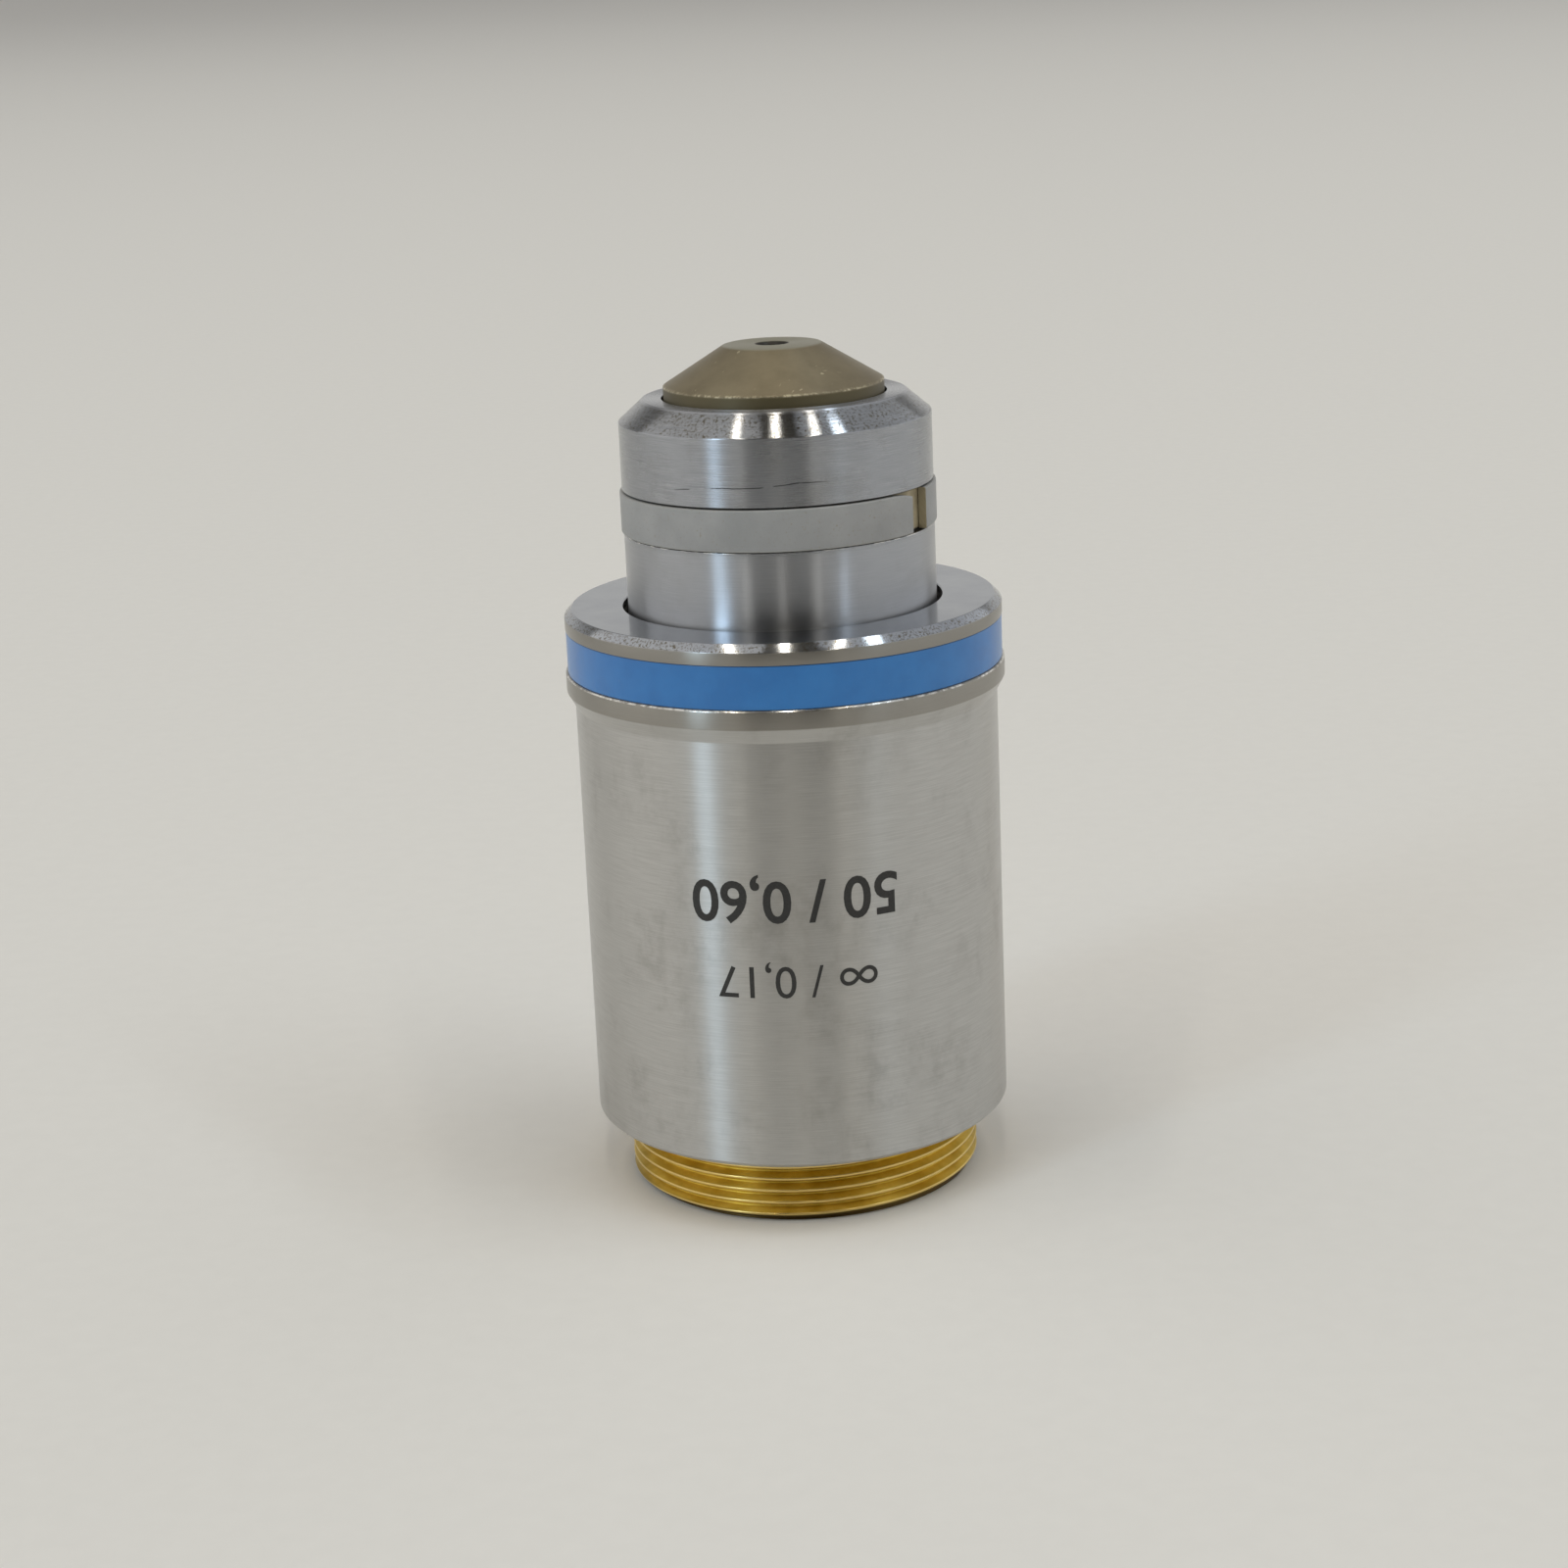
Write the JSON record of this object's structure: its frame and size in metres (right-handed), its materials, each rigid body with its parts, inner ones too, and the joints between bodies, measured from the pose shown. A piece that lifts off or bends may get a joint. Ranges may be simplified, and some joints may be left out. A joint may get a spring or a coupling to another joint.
{
  "type": "microscope objective",
  "caption": "High-power microscope objective: bright turned casing with a light blue ring, standard brass screw thread and a spring-loaded nose that ends in a low lens cone.",
  "frame": {"origin": "centre of the thread's end face, on which the objective stands", "axes": "+Z along the optical axis towards the front lens; +X to the right and -Y towards the viewer in the picture; the split ring's opening is at 55 to 66 degrees from -Y towards +X"},
  "size_m": [0.0249, 0.0248, 0.0481],
  "materials": {
    "thread_brass": "gilded, bright, with light thread crests",
    "satin_steel": "satin, fine-grained, lightly stained",
    "polished_steel": "polished face, bright bevel, satin edge",
    "turned_steel": "turned, with fine lines round the axis",
    "blue_enamel": "glossy light blue enamel",
    "grey_plastic": "matte light grey",
    "bronze_mount": "satin, brown-olive oxidised, fine scratches",
    "inner_brass": "turned",
    "black_aluminium": "matt black anodised",
    "spring_steel": "drawn",
    "optical_glass": "polished and coated"
  },
  "bodies": {
    "housing": {"mounting_thread": "thread_brass", "outer_sleeve": "satin_steel", "colour_ring": "blue_enamel", "front_ring": "polished_steel", "guide_tube": "inner_brass", "stop_ring": "inner_brass", "lock_ring": "inner_brass", "spring_washer": "spring_steel", "return_spring": "spring_steel", "guide_screw": "spring_steel"},
    "nose": {"nose_barrel": "turned_steel", "split_ring": "grey_plastic", "centring_screws": "spring_steel", "lens_tube": "inner_brass", "front_lens_mount": "bronze_mount", "front_lens": "optical_glass", "centring_cell": "inner_brass", "meniscus_lens": "optical_glass", "doublet_cell": "inner_brass", "doublet_rear_lens": "optical_glass", "doublet_front_lens": "optical_glass", "spacer_ring": "black_aluminium", "triplet_cell": "inner_brass", "triplet_rear_lens": "optical_glass", "triplet_centre_lens": "optical_glass", "triplet_front_lens": "optical_glass", "spacer_tube": "black_aluminium", "rear_cell": "inner_brass", "rear_doublet_rear_lens": "optical_glass", "rear_doublet_front_lens": "optical_glass", "retaining_ring": "black_aluminium"}
  },
  "joints": [
    {"name": "nose_slide", "type": "slide", "parent": "housing", "child": "nose", "axis": [0, 0, 1], "range_m": [-0.0035, 0], "stiffness_N_per_m": 400, "springref_m": 0.006, "deforming": ["return_spring"]}
  ]
}
